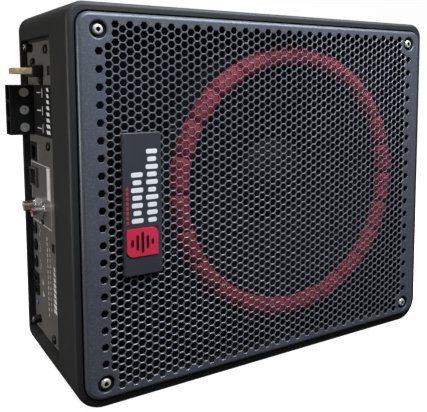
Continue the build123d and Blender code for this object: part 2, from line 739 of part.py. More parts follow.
keep(switch_bodies.part, "switch_bodies")

for lever_name, (lever_y, lever_z) in zip(("switch_lever_phase", "switch_lever_power"), SWITCH_SPOTS):
    with BuildPart() as lever:
        with BuildSketch(outward(PANEL_X + 3.8)):
            with Locations((-lever_y + LEVER_TRAVEL / 2, lever_z)):
                Rectangle(4.6, LEVER_H)
        extrude(amount=4.6)
        with BuildSketch(outward(PANEL_X - 0.8)):
            with Locations((-lever_y + LEVER_TRAVEL / 2, lever_z)):
                Rectangle(3.4, LEVER_H)
        extrude(amount=2.4)
        tip = lever.edges().group_by(Axis.X)[0].filter_by(Axis.Z)
        fillet(tip, 0.6)
    keep(lever.part, lever_name)

with BuildPart() as status_light:
    with BuildSketch(outward(PANEL_BACK_X + 4)):
        with Locations(*outward_spots([LED_SPOT])):
            Circle(LED_R)
    extrude(amount=PANEL_T + 4 + 1.6)
    fillet(status_light.edges().group_by(Axis.X)[0], 1.5)
keep(status_light.part, "status_light")

# ---- sockets ----
with BuildPart() as remote_port:
    with BuildSketch(outward(PANEL_X - 0.6)):
        with Locations(*outward_spots([PORT_SPOT])):
            RectangleRounded(PORT_W, PORT_H, 0.8)
    extrude(amount=-14.6)
    with BuildSketch(outward(PANEL_X - 0.6)):
        with Locations(*outward_spots([PORT_SPOT])):
            Rectangle(*PORT_MOUTH)
            with Locations((0, -5.2)):
                Rectangle(6.2, 2.0)
    extrude(amount=-11, mode=Mode.SUBTRACT)
keep(remote_port.part, "remote_port")

with BuildPart() as speaker_input:
    with BuildSketch(outward(PANEL_X - 2.0)):
        with Locations(*outward_spots([PLUG_SPOT])):
            RectangleRounded(20, 16, 0.8)
    extrude(amount=-16)
    with BuildSketch(outward(PANEL_X - 2.0)):
        with Locations(*outward_spots([PLUG_SPOT])):
            Rectangle(17, 13)
    extrude(amount=-11, mode=Mode.SUBTRACT)
keep(speaker_input.part, "speaker_input")

with BuildPart() as speaker_input_pins:
    with BuildSketch(outward(PANEL_X + 9.0)):
        with Locations(*outward_spots([PLUG_SPOT])):
            with GridLocations(4.2, 5.0, 4, 2):
                Rectangle(1.1, 1.1)
    extrude(amount=8)
keep(speaker_input_pins.part, "speaker_input_pins")

# ---- power terminal block ----
BLOCK_REACH = 18.5
BLOCK_BODY = (17.5, 40.0)
BLOCK_POLES = [(BLOCK_SPOT[0], BLOCK_SPOT[1] + k * BLOCK_POLE_STEP) for k in (-1, 0, 1)]
BLOCK_FACE_Y = BLOCK_SPOT[0] - BLOCK_BODY[0] / 2
CLAMP_X = PANEL_X - BLOCK_REACH + 10.5
with BuildPart() as terminal_block:
    with BuildSketch(outward(PANEL_X)):
        with Locations(*outward_spots([BLOCK_SPOT])):
            Rectangle(*BLOCK_BODY)
    extrude(amount=BLOCK_REACH)
    fillet(terminal_block.edges().filter_by(Axis.X), 1.0)
    with BuildSketch(outward(PANEL_X)):
        with Locations(*outward_spots([BLOCK_SPOT])):
            Rectangle(14, 37)
    extrude(amount=-12)
    with BuildSketch(outward(PANEL_X - BLOCK_REACH)):
        with Locations(*outward_spots(BLOCK_POLES)):
            RectangleRounded(11, 11.5, 2.5)
    extrude(amount=-16.5, mode=Mode.SUBTRACT)
    with BuildSketch(front(BLOCK_FACE_Y)):
        with Locations(*[(CLAMP_X, z) for _, z in BLOCK_POLES]):
            Circle(3.7)
    extrude(amount=-6, mode=Mode.SUBTRACT)
keep(terminal_block.part, "terminal_block")

with BuildPart() as terminal_clamps:
    with BuildSketch(outward(CLAMP_X - 4)):
        with Locations(*outward_spots(BLOCK_POLES)):
            RectangleRounded(10.8, 11.3, 2.4)
            RectangleRounded(8.6, 9.1, 1.4, mode=Mode.SUBTRACT)
    extrude(amount=-8)
    with BuildSketch(front(BLOCK_FACE_Y)):
        with Locations(*[(CLAMP_X, z) for _, z in BLOCK_POLES]):
            Circle(2.55)
    extrude(amount=-5, mode=Mode.SUBTRACT)
keep(terminal_clamps.part, "terminal_clamps")

with BuildPart() as terminal_screws:
    with BuildSketch(front(BLOCK_FACE_Y - 0.4)):
        with Locations(*[(CLAMP_X, z) for _, z in BLOCK_POLES]):
            Circle(3.5)
    extrude(amount=-3.2)
    with BuildSketch(front(BLOCK_FACE_Y + 2)):
        with Locations(*[(CLAMP_X, z) for _, z in BLOCK_POLES]):
            Circle(2.5)
    extrude(amount=-4.5)
    with BuildSketch(front(BLOCK_FACE_Y - 0.4)):
        with Locations(*[(CLAMP_X, z) for _, z in BLOCK_POLES]):
            RegularPolygon(1.6, 6, major_radius=False)
    extrude(amount=-2.2, mode=Mode.SUBTRACT)
keep(terminal_screws.part, "terminal_screws")

# ---- fuse holder and blade fuse ----
with BuildPart() as fuse_holder:
    with BuildSketch(outward(PANEL_X)):
        with Locations(*outward_spots([FUSE_SPOT])):
            with Locations((-4, 0)):
                RectangleRounded(31, 9, 1)
        with Locations(*outward_spots(FUSE_SCREW_SPOTS)):
            Circle(3.4)
    extrude(amount=1.5)
    with BuildSketch(outward(PANEL_X)):
        with Locations(*outward_spots([FUSE_SPOT])):
            RectangleRounded(23, 9, 1)
    extrude(amount=8)
    with BuildSketch(side(PANEL_X)):
        with Locations(FUSE_SPOT):
            Rectangle(18, 7)
    extrude(amount=12)
    with BuildSketch(outward(PANEL_X - 8)):
        with Locations(*outward_spots([FUSE_SPOT])):
            Rectangle(19.8, 5.8)
    extrude(amount=-5.5, mode=Mode.SUBTRACT)
    with BuildSketch(outward(PANEL_X - 3)):
        with Locations(*outward_spots([FUSE_SPOT])):
            with Locations((-6.2, 0), (6.2, 0)):
                Rectangle(5.6, 1.2)
    extrude(amount=-12, mode=Mode.SUBTRACT)
    with BuildSketch(outward(PANEL_X)):
        with Locations(*outward_spots(FUSE_SCREW_SPOTS)):
            Circle(1.4)
    extrude(amount=3, mode=Mode.SUBTRACT)
keep(fuse_holder.part, "fuse_holder")
with BuildPart() as small_screws:
    add(pan_screws(outward(PANEL_X - 1.5), outward_spots(FUSE_SCREW_SPOTS), 2.4, 1.3, 1.2, 5, 0.8))
    add(pan_screws(outward(PANEL_X), outward_spots([BRACKET_SCREW_SPOT]), 2.4, 1.3, 1.1, 8, 0.8))
keep(small_screws.part, "small_screws")

with BuildPart() as blade_fuse:
    with BuildSketch(outward(PANEL_X - 3.6)):
        with Locations(*outward_spots([FUSE_SPOT])):
            Rectangle(19.0, 4.8)
    extrude(amount=17.0)
    fillet(blade_fuse.edges().filter_by(Axis.X), 0.8)
    with BuildSketch(outward(PANEL_X - 20.6)):
        with Locations(*outward_spots([FUSE_SPOT])):
            with Locations((-5.6, 0), (5.6, 0)):
                Rectangle(3.2, 2.2)
    extrude(amount=-2.0, mode=Mode.SUBTRACT)
keep(blade_fuse.part, "blade_fuse")

with BuildPart() as fuse_blades:
    with BuildSketch(outward(PANEL_X - 3.6)):
        with Locations(*outward_spots([FUSE_SPOT])):
            with Locations((-6.2, 0), (6.2, 0)):
                Rectangle(5.2, 0.8)
    extrude(amount=-10.5)
keep(fuse_blades.part, "fuse_blades")

# ---- amplifier board, its posts and screws ----
BOARD_POSTS = [(x, z) for x in BOARD_POST_X for z in BOARD_POST_Z]
BOARD_BACK_Y = BOARD_Y + BOARD_T
COVER_INSIDE_Y = REAR_Y - COVER_T
with BuildPart() as circuit_board:
    with BuildSketch(front(BOARD_Y)):
        with Locations(((BOARD_X[0] + BOARD_X[1]) / 2, (BOARD_Z[0] + BOARD_Z[1]) / 2)):
            Rectangle(BOARD_X[1] - BOARD_X[0], BOARD_Z[1] - BOARD_Z[0])
        # notches round the bodies that straddle the board's edge
        with Locations((BOARD_X[0], JACK_BODY_SPOT[1])):
            Rectangle(10, 23.5, mode=Mode.SUBTRACT)
        with Locations((BOARD_X[0], PLUG_SPOT[1])):
            Rectangle(14, 18, mode=Mode.SUBTRACT)
        with Locations((BOARD_X[0], PORT_SPOT[1])):
            Rectangle(14, 17, mode=Mode.SUBTRACT)
        with Locations(*BOARD_POSTS):
            Circle(1.7, mode=Mode.SUBTRACT)
    extrude(amount=-BOARD_T)
keep(circuit_board.part, "circuit_board")

with BuildPart() as board_posts:
    with BuildSketch(front(BOARD_BACK_Y)):
        with Locations(*BOARD_POSTS):
            RegularPolygon(3.5, 6, major_radius=False)
            Circle(1.6, mode=Mode.SUBTRACT)
    extrude(amount=-(COVER_INSIDE_Y - BOARD_BACK_Y))
keep(board_posts.part, "board_posts")
keep(pan_screws(front(BOARD_Y), BOARD_POSTS, 2.9, 1.8, 1.5, 8, 1.1), "board_screws")

# ---- amplifier parts on the board ----
SINK_X = -92.0
SINK_Z = 191.0
SINK_FINS = 7
with BuildPart() as heat_sink:
    with BuildSketch(front(BOARD_Y)):
        with Locations((SINK_X, SINK_Z)):
            Rectangle(6, 70)
            with GridLocations(1, 11, 1, SINK_FINS):
                with Locations((12, 0)):
                    Rectangle(20, 2)
    extrude(amount=32)
keep(heat_sink.part, "heat_sink")

with BuildPart() as power_transistors:
    with BuildSketch(front(BOARD_Y - 8)):
        with Locations((SINK_X - 3 - 2.3, SINK_Z)):
            with GridLocations(1, 17, 1, 4):
                Rectangle(4.6, 10.2)
    extrude(amount=15)
    with BuildSketch(front(BOARD_Y)):
        with Locations((SINK_X - 3 - 2.6, SINK_Z)):
            with GridLocations(1, 17, 1, 4):
                with GridLocations(1, 2.6, 1, 3):
                    Rectangle(0.6, 0.9)
    extrude(amount=8)
keep(power_transistors.part, "power_transistors")

with BuildPart() as transformer:
    with BuildSketch(Plane(origin=(-108, 0, 112), x_dir=(1, 0, 0), z_dir=(0, 0, 1))):
        with Locations((15.5, BOARD_Y - 11.5)):
            Ellipse(8, 10.5)
    revolve(axis=Axis((-108, 0, 112), (0, 1, 0)))
keep(transformer.part, "transformer")

CAPACITOR_SPOTS = [(-74, z) for z in (66, 90, 114)]
with BuildPart() as capacitors:
    with BuildSketch(front(BOARD_Y)):
        with Locations(*CAPACITOR_SPOTS):
            Circle(9)
    extrude(amount=31)
    fillet(capacitors.edges().filter_by(GeomType.CIRCLE), 1.2)
keep(capacitors.part, "capacitors")

# ---- cable from the board to the woofer's terminals ----
CABLE_X = -70.0
CABLE_Z = WOOFER_Z
with BuildPart() as speaker_cable:
    with BuildSketch(front(BOARD_Y)):
        with Locations((CABLE_X, CABLE_Z)):
            RectangleRounded(9, 16, 1)
    extrude(amount=9)
    for cable_side in (-1, 1):
        with BuildLine() as cable_path:
            Spline(
                (CABLE_X, BOARD_Y - 9, CABLE_Z + cable_side * 5),
                (CABLE_X - 2, 18, CABLE_Z + cable_side * 6),
                (LUG_X, -6.6, CABLE_Z + cable_side * 13),
                tangents=((0, -1, 0), (0, -1, 0)),
            )
        with BuildSketch(Plane(cable_path.line @ 0, z_dir=cable_path.line % 0)):
            Circle(1.5)
        sweep(path=cable_path.line)
keep(speaker_cable.part, "speaker_cable")
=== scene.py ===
import math

import bmesh
import bpy
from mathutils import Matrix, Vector
from mathutils.geometry import delaunay_2d_cdt


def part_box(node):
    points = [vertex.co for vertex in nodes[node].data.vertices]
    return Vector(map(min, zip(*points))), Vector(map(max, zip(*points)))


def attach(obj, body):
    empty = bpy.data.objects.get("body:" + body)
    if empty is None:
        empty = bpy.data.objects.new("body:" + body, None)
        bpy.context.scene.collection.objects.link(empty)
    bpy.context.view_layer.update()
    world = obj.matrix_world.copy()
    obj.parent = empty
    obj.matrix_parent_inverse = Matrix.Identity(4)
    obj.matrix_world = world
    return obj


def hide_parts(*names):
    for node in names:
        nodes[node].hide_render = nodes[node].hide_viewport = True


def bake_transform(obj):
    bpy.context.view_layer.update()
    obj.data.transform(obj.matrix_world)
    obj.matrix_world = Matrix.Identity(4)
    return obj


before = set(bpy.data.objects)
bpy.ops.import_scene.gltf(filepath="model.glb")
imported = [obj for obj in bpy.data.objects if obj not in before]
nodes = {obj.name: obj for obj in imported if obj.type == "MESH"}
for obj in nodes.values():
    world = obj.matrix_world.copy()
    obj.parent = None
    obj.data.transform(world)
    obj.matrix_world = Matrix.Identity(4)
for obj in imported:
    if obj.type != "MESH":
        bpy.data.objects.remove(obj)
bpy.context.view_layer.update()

# Looks of a powered car subwoofer. Metres, same frame as the CAD: the grille faces -Y,
# the amplifier panel faces -X, +Z is up.

MM = 0.001
HOUSING = "housing"


def centre_of(node):
    low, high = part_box(node)
    return (low + high) / 2


# ---------------------------------------------------------------- materials
class Recipe:
    """A node material under construction, with short ways to add and link nodes."""

    def __init__(self, name):
        self.material = bpy.data.materials.new(name)
        self.material.use_nodes = True
        self.tree = self.material.node_tree
        self.shader = self.tree.nodes["Principled BSDF"]
        self.coords = self.add("ShaderNodeTexCoord").outputs["Object"]

    def add(self, kind, **values):
        node = self.tree.nodes.new(kind)
        for key, value in values.items():
            if hasattr(node, key):
                setattr(node, key, value)
            else:
                node.inputs[key.replace("_", " ")].default_value = value
        return node

    def link(self, source, target):
        self.tree.links.new(source, target)

    def noise(self, grain, detail=2.0, stretch=(1, 1, 1), shift=0.0):
        """Noise whose blobs are about `grain` metres across."""
        mapping = self.add("ShaderNodeMapping")
        mapping.inputs["Location"].default_value = (shift, shift, shift)
        mapping.inputs["Scale"].default_value = stretch
        self.link(self.coords, mapping.inputs["Vector"])
        noise = self.add("ShaderNodeTexNoise", Scale=1.0 / grain, Detail=detail)
        self.link(mapping.outputs["Vector"], noise.inputs["Vector"])
        return noise.outputs["Fac"]

    def spread(self, source, low, high, to_low=0.0, to_high=1.0):
        remap = self.add("ShaderNodeMapRange")
        remap.inputs["From Min"].default_value = low
        remap.inputs["From Max"].default_value = high
        remap.inputs["To Min"].default_value = to_low
        remap.inputs["To Max"].default_value = to_high
        self.link(source, remap.inputs["Value"])
        return remap.outputs["Result"]

    def blend(self, factor, first, second):
        """Mix of two colours, each a socket or a plain colour."""
        mix = self.add("ShaderNodeMix", data_type="RGBA")
        self.link(factor, mix.inputs["Factor"])
        for socket, value in ((mix.inputs[6], first), (mix.inputs[7], second)):
            if isinstance(value, tuple):
                socket.default_value = (*value, 1.0)
            else:
                self.link(value, socket)
        return mix.outputs[2]

    def inside(self, low, high):
        """One inside the box between two corners, else zero."""
        place = self.add("ShaderNodeSeparateXYZ")
        self.link(self.add("ShaderNodeNewGeometry").outputs["Position"], place.inputs["Vector"])
        product = None
        for axis, name in enumerate("XYZ"):
            test = self.add("ShaderNodeMath", operation="COMPARE")
            test.inputs[1].default_value = (low[axis] + high[axis]) / 2
            test.inputs[2].default_value = (high[axis] - low[axis]) / 2
            self.link(place.outputs[name], test.inputs[0])
            if product is None:
                product = test.outputs[0]
                continue
            both = self.add("ShaderNodeMath", operation="MULTIPLY")
            self.link(product, both.inputs[0])
            self.link(test.outputs[0], both.inputs[1])
            product = both.outputs[0]
        return product

    def set(self, **values):
        for key, value in values.items():
            self.shader.inputs[key.replace("_", " ")].default_value = value


def shade(colour, factor):
    return tuple(min(1.0, c * factor) for c in colour)


def coated(name, colour, rough, grain=0.5 * MM, bump=0.03 * MM, vary=0.25, metal=0.0, edge=0.3 * MM,
           speckle=None, stretch=(1, 1, 1), coat=0.0, sheen=0.0, gleam=0.5, painted_shade_box=None):
    """Surface with a fine grain, broad tone changes, softened edges, optional bright speckle and an optional
    box of painted shade.
    """
    r = Recipe(name)
    fine = r.noise(grain, 3.0, stretch)
    broad = r.noise(45 * MM, 2.0, shift=3.1)
    tone = r.blend(r.spread(broad, 0.3, 0.7), shade(colour, 1 - vary), shade(colour, 1 + vary))
    tone = r.blend(r.spread(fine, 0.42, 0.62, 0.0, 0.55), tone, shade(colour, 1 + 1.6 * vary))
    if speckle:
        spots = r.noise(0.9 * grain, 0.0, shift=7.7)
        tone = r.blend(r.spread(spots, 0.66, 0.74, 0.0, 0.7), tone, speckle)
    # painted shade: inside the box the colour turns near-black and the specular drops
    if painted_shade_box:
        within = r.inside(*painted_shade_box)
        tone = r.blend(within, tone, PAINTED_SHADE_BLACK)
        r.link(r.spread(within, 0.0, 1.0, gleam, 0.1), r.shader.inputs["Specular IOR Level"])
    r.link(tone, r.shader.inputs["Base Color"])
    r.link(r.spread(fine, 0.3, 0.7, rough - 0.06, rough + 0.06), r.shader.inputs["Roughness"])
    rounded = r.add("ShaderNodeBevel", samples=4, Radius=edge)
    height = r.add("ShaderNodeBump", Strength=1.0, Distance=bump)
    r.link(fine, height.inputs["Height"])
    r.link(rounded.outputs["Normal"], height.inputs["Normal"])
    r.link(height.outputs["Normal"], r.shader.inputs["Normal"])
    r.set(Metallic=metal, Coat_Weight=coat, Sheen_Weight=sheen, Specular_IOR_Level=gleam)
    return r.material


def brushed(name, colour, rough, along=0):
    """Bare metal with fine lines along one axis."""
    stretch = tuple(0.06 if k == along else 1.0 for k in range(3))
    return coated(name, colour, rough, grain=0.25 * MM, bump=0.01 * MM, vary=0.12, metal=1.0,
                  edge=0.2 * MM, stretch=stretch)


BLACK_INK_AND_SHADE = (0.006, 0.006, 0.006)
PAINTED_SHADE_BLACK = (0.0035, 0.0045, 0.006)
# painted shade: the space behind the grille and inside the shell is coloured near-black with little specular,
# darker than the outside, in place of the shade that falls there
SHELL_LOW, SHELL_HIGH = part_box("enclosure_shell")
SHELL_SHADE_BOX = (SHELL_LOW + Vector((9, 2, 9)) * MM, SHELL_HIGH - Vector((9, 20, 9)) * MM)
COAT_BLUE = (0.085, 0.092, 0.112)

# the shell's inside behind the grille gets painted shade from the box above
enclosure_mat = coated("enclosure_texture", (0.021, 0.021, 0.021), 0.52, grain=0.7 * MM, bump=0.06 * MM,
                       vary=0.2, edge=0.6 * MM, gleam=0.4, painted_shade_box=SHELL_SHADE_BOX)
cover_mat = coated("cover_paint", (0.03, 0.03, 0.03), 0.5, grain=0.5 * MM, bump=0.03 * MM, edge=0.5 * MM,
                   gleam=0.4)
grille_mat = coated("grille_powder_coat", COAT_BLUE, 0.38, grain=0.35 * MM, bump=0.035 * MM, vary=0.16,
                    metal=0.2, edge=0.12 * MM, speckle=(0.30, 0.31, 0.34))
# painted highlight: a lighter copy of the grille coat for the rolled rims of the holes, in place of light
# caught on them
rim_highlight_mat = coated("grille_hole_rims_painted_highlight", (0.185, 0.195, 0.22), 0.34, grain=0.35 * MM, bump=0.03 * MM, vary=0.16,
                 metal=0.2, edge=0.12 * MM, speckle=(0.30, 0.31, 0.34))
# real rubber for the seals; the grille's dimples also use it as painted shade
rubber_and_shade_mat = coated("seal_rubber", (0.008, 0.008, 0.008), 0.8, grain=1.0 * MM, bump=0.08 * MM, gleam=0.2)
red_mat = coated("surround_red_rubber", (0.50, 0.042, 0.072), 0.6, grain=0.8 * MM, bump=0.03 * MM, vary=0.12,
                 gleam=0.3)
cone_mat = coated("cone_pressed", (0.006, 0.006, 0.007), 0.75, grain=1.6 * MM, bump=0.12 * MM, vary=0.3,
                  gleam=0.15)
cap_mat = coated("dust_cap_satin", (0.007, 0.007, 0.008), 0.7, grain=0.8 * MM, bump=0.04 * MM, gleam=0.2)
black_screw_mat = coated("screw_black_oxide", (0.05, 0.05, 0.052), 0.32, grain=0.3 * MM, bump=0.01 * MM,
                         metal=0.8, edge=0.15 * MM)
bright_screw_mat = coated("screw_bright_plate", (0.80, 0.79, 0.77), 0.2, grain=0.3 * MM, bump=0.008 * MM,
                          vary=0.08, metal=0.4, edge=0.15 * MM)
dull_screw_mat = coated("screw_dull_plate", (0.22, 0.22, 0.22), 0.3, grain=0.3 * MM, bump=0.01 * MM,
                        vary=0.1, metal=1.0, edge=0.15 * MM)
brass_mat = coated("brass_turned", (0.80, 0.58, 0.26), 0.25, grain=0.3 * MM, bump=0.01 * MM, vary=0.1,
                   metal=1.0)
steel_mat = brushed("motor_steel", (0.62, 0.62, 0.63), 0.3, along=0)
panel_mat = coated("panel_metallic_paint", (0.175, 0.171, 0.155), 0.42, grain=0.4 * MM, bump=0.02 * MM,
                   vary=0.22, metal=0.4, edge=0.2 * MM, speckle=(0.30, 0.29, 0.27))
black_plastic_mat = coated("connector_black", (0.010, 0.010, 0.010), 0.42, grain=0.6 * MM, bump=0.02 * MM,
                           edge=0.25 * MM, gleam=0.4)
grey_plastic_mat = coated("connector_grey", (0.10, 0.10, 0.10), 0.45, grain=0.6 * MM, bump=0.015 * MM,
                          vary=0.1)
knob_mat = coated("knob_moulded", (0.008, 0.008, 0.008), 0.45, grain=0.5 * MM, bump=0.03 * MM, edge=0.2 * MM,
                  gleam=0.3)
chrome_mat = coated("jack_plated", (0.72, 0.71, 0.69), 0.2, grain=0.4 * MM, bump=0.004 * MM, vary=0.08,
                    metal=1.0, edge=0.15 * MM)
white_jack_mat = coated("jack_white", (0.80, 0.79, 0.76), 0.3, grain=0.6 * MM, bump=0.01 * MM, vary=0.05)
red_jack_mat = coated("jack_red", (0.72, 0.05, 0.06), 0.3, grain=0.6 * MM, bump=0.01 * MM, vary=0.08)
badge_mat = coated("badge_satin", (0.040, 0.043, 0.052), 0.42, grain=0.5 * MM, bump=0.02 * MM, vary=0.15)
emblem_mat = coated("emblem_red_gloss", (0.75, 0.03, 0.08), 0.3, grain=0.5 * MM, bump=0.006 * MM, vary=0.08,
                    coat=0.3)
white_ink_mat = coated("ink_white", (0.90, 0.90, 0.90), 0.5, grain=0.25 * MM, bump=0.01 * MM, vary=0.05)
red_ink_mat = coated("ink_red", (0.66, 0.03, 0.05), 0.45, grain=0.3 * MM, bump=0.01 * MM, vary=0.08)
# real black print, also used as painted shade in the screw sockets
black_ink_and_shade_mat = coated("ink_black_and_painted_shade", BLACK_INK_AND_SHADE, 0.5, grain=0.3 * MM, bump=0.01 * MM, gleam=0.3)
ferrite_mat = coated("ferrite", (0.06, 0.06, 0.062), 0.6, grain=0.8 * MM, bump=0.05 * MM)
cloth_mat = coated("spider_cloth", (0.50, 0.36, 0.12), 0.8, grain=0.7 * MM, bump=0.12 * MM, sheen=0.4)
copper_mat = coated("copper_wire", (0.72, 0.32, 0.14), 0.3, grain=0.4 * MM, bump=0.03 * MM, metal=0.9,
                    stretch=(1, 0.2, 1))
board_mat = coated("board_green", (0.015, 0.11, 0.045), 0.35, grain=1.5 * MM, bump=0.03 * MM, coat=0.4)
sink_mat = brushed("heat_sink_aluminium", (0.72, 0.73, 0.75), 0.35, along=1)
sleeve_mat = coated("capacitor_sleeve", (0.02, 0.025, 0.08), 0.25, grain=1.0 * MM, bump=0.01 * MM, coat=0.4)
cable_mat = coated("cable_sheath", (0.22, 0.02, 0.02), 0.45, grain=0.8 * MM, bump=0.02 * MM)


def translucent(name, colour, rough, painted_glow):
    """Tinted plastic that lets light through and shows a faint painted glow in its own colour."""
    r = Recipe(name)
    cloud = r.noise(2.5 * MM, 2.0)
    tone = r.blend(r.spread(cloud, 0.35, 0.65), shade(colour, 0.8), shade(colour, 1.15))
    r.link(tone, r.shader.inputs["Base Color"])
    # painted light: the plastic glows faintly in its own colour
    r.link(tone, r.shader.inputs["Emission Color"])
    r.link(r.spread(cloud, 0.3, 0.7, rough - 0.05, rough + 0.05), r.shader.inputs["Roughness"])
    r.set(Transmission_Weight=0.35, IOR=1.45, Emission_Strength=painted_glow)
    return r.material


# painted light: the fuse and the lens glow faintly, in place of light passing through them
fuse_mat = translucent("fuse_tan", (0.66, 0.53, 0.30), 0.25, 0.10)
light_mat = translucent("light_lens", (0.16, 0.22, 0.34), 0.15, 0.05)

NODE_MATERIALS = {
    enclosure_mat: ["enclosure_shell"],
    rubber_and_shade_mat: ["rear_gasket", "woofer_gasket", "woofer_trim_ring"],
    black_screw_mat: ["rear_cover_screws", "woofer_screws", "panel_screws", "small_screws"],
    bright_screw_mat: ["grille_screws", "terminal_screws", "board_screws", "badge_push_nuts"],
    dull_screw_mat: ["standoff_screws"],
    brass_mat: ["mount_inserts", "terminal_lugs", "terminal_clamps", "speaker_input_pins", "board_posts"],
    badge_mat: ["badge_plate"],
    emblem_mat: ["badge_emblem"],
    cover_mat: ["rear_cover", "basket"],
    cone_mat: ["cone"],
    cap_mat: ["dust_cap"],
    steel_mat: ["top_plate", "pole_piece", "fuse_blades", "voice_coil_former"],
    ferrite_mat: ["magnet"],
    copper_mat: ["voice_coil", "transformer"],
    panel_mat: ["control_panel"],
    black_plastic_mat: ["panel_standoffs", "jack_body", "potentiometers", "switch_bodies", "remote_port",
                        "terminal_block", "fuse_holder", "power_transistors", "terminal_tab"],
    grey_plastic_mat: ["speaker_input"],
    knob_mat: ["knob_level", "knob_crossover", "knob_bass", "switch_lever_phase", "switch_lever_power"],
    chrome_mat: ["jack_barrels"],
    white_jack_mat: ["jack_insulator_white"],
    red_jack_mat: ["jack_insulator_red"],
    light_mat: ["status_light"],
    fuse_mat: ["blade_fuse"],
    board_mat: ["circuit_board"],
    sink_mat: ["heat_sink"],
    sleeve_mat: ["capacitors"],
    cable_mat: ["speaker_cable"],
}
for material, names in NODE_MATERIALS.items():
    for name in names:
        for material_slot in nodes[name].material_slots:
            material_slot.material = material


# ---------------------------------------------------------------- mesh helpers
def add_piece(name, points, faces, material, body=HOUSING, smooth=(), second=None, second_faces=()):
    """A closed mesh piece; smooth lists the faces that shade smoothly, second_faces the other material's."""
    mesh = bpy.data.meshes.new(name)
    mesh.from_pydata([tuple(p) for p in points], [], faces)
    mesh.materials.append(material)
    if second:
        mesh.materials.append(second)
        for index in second_faces:
            mesh.polygons[index].material_index = 1
    for index in smooth:
        mesh.polygons[index].use_smooth = True
    work = bmesh.new()
    work.from_mesh(mesh)
    bmesh.ops.recalc_face_normals(work, faces=work.faces)
    work.to_mesh(mesh)
    work.free()
    piece = bpy.data.objects.new(name, mesh)
    bpy.context.scene.collection.objects.link(piece)
    if body:
        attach(piece, body)
    return piece


def strip_between(first, second, size):
    """Quads that join two closed loops, given by the index of each loop's first point."""
    return [
        (first + k, first + (k + 1) % size, second + (k + 1) % size, second + k)
        for k in range(size)
    ]


def slabs(name, outlines, material, place, thick, body=HOUSING):
    """Thin plates: each outline is a list of 2-D points, place(u, v, depth) puts a point in space."""
    points = []
    faces = []
    for outline in outlines:
        size = len(outline)
        base = len(points)
        points += [place(u, v, 0.0) for u, v in outline]
        points += [place(u, v, thick) for u, v in outline]
        faces.append(tuple(range(base, base + size)))
        faces.append(tuple(range(base + 2 * size - 1, base + size - 1, -1)))
        faces += strip_between(base, base + size, size)
    return add_piece(name, points, faces, material, body)


def bar(u, v, width, height, lean=0.0):
    """Outline of a bar, its top shifted sideways by lean."""
    w, h = width / 2, height / 2
    return [(u - w - lean, v - h), (u + w - lean, v - h), (u + w + lean, v + h), (u - w + lean, v + h)]


def round_bar(u, v, width, height, radius, steps=5):
    """Outline of a bar with rounded corners."""
    outline = []
    for cx, cy, start in ((1, 1, 0), (-1, 1, 90), (-1, -1, 180), (1, -1, 270)):
        for k in range(steps + 1):
            turn = math.radians(start + 90 * k / steps)
            outline.append((
                u + cx * (width / 2 - radius) + radius * math.cos(turn),
                v + cy * (height / 2 - radius) + radius * math.sin(turn),
            ))
    return outline


def tray_outline(width, height, top_r, low_r, steps=8):
    """Outline about the origin whose lower corners are rounder than its upper ones."""
    outline = []
    corners = ((1, 1, 0, top_r), (-1, 1, 90, top_r), (-1, -1, 180, low_r), (1, -1, 270, low_r))
    for sx, sy, start, radius in corners:
        for k in range(steps + 1):
            turn = math.radians(start + 90 * k / steps)
            outline.append((
                sx * (width / 2 - radius) + radius * math.cos(turn),
                sy * (height / 2 - radius) + radius * math.sin(turn),
            ))
    return outline


def ring_of(radius, count):
    turns = [2 * math.pi * k / count for k in range(count)]
    return [(radius * math.cos(turn), radius * math.sin(turn)) for turn in turns]


# ---------------------------------------------------------------- grille
grille_low, grille_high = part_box("grille")
GRILLE_W = grille_high.x - grille_low.x
GRILLE_H = grille_high.z - grille_low.z
GRILLE_FACE_Y = grille_low.y
GRILLE_MID_Z = (grille_low.z + grille_high.z) / 2
SKIRT = grille_high.y - grille_low.y
TOP_CORNER_R = 9.0 * MM
LOW_CORNER_R = 13.0 * MM
BEND_R = 3.0 * MM
SHEET = 1.2 * MM
HEM = 0.3 * MM
PITCH = 6.0 * MM
HOLE_R = 2.5 * MM / math.cos(math.pi / 6)
HOLE_ROLL = 0.30 * MM
ROLLED_R = HOLE_R + HOLE_ROLL * 1.155
COLUMN_STEP = PITCH * math.sqrt(3) / 2
MID_COLUMN = 26
SCREW_LOW, SCREW_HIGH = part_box("grille_screws")
SCREW_HEAD_R = 3.6 * MM
EDGE_COLUMN_X = (SCREW_HIGH.x - SCREW_LOW.x) / 2 - SCREW_HEAD_R
SCREW_Z = (SCREW_HIGH.z - SCREW_LOW.z) / 2 - SCREW_HEAD_R
LONG_COLUMN_HOLES = 43
OUTER_COLUMN_HOLES = 38
EDGE_COLUMN_HOLES = 19
EDGE_BEND_STEPS = 6
DIMPLE_STEPS = 40
MERGE_GAP = 1e-7
# dimple section as (radius, depth behind the face), from the face to the back of the sheet
DIMPLE = [(7.2, 0.0), (6.7, 0.08), (6.3, 0.3), (6.0, 0.7), (5.85, 1.2), (5.7, 2.1), (5.5, 2.25), (2.2, 2.25),
          (2.2, 3.35), (6.0, 3.35), (6.6, 3.0), (7.0, 1.9), (7.5, 1.2)]
# painted shade: between these two steps of the section, the pit's steep walls and floor under the screw head
# are coloured black with the rubber material, in place of the shade in the pit
DIMPLE_SHADE_FROM = 3
DIMPLE_SHADE_TO = 7


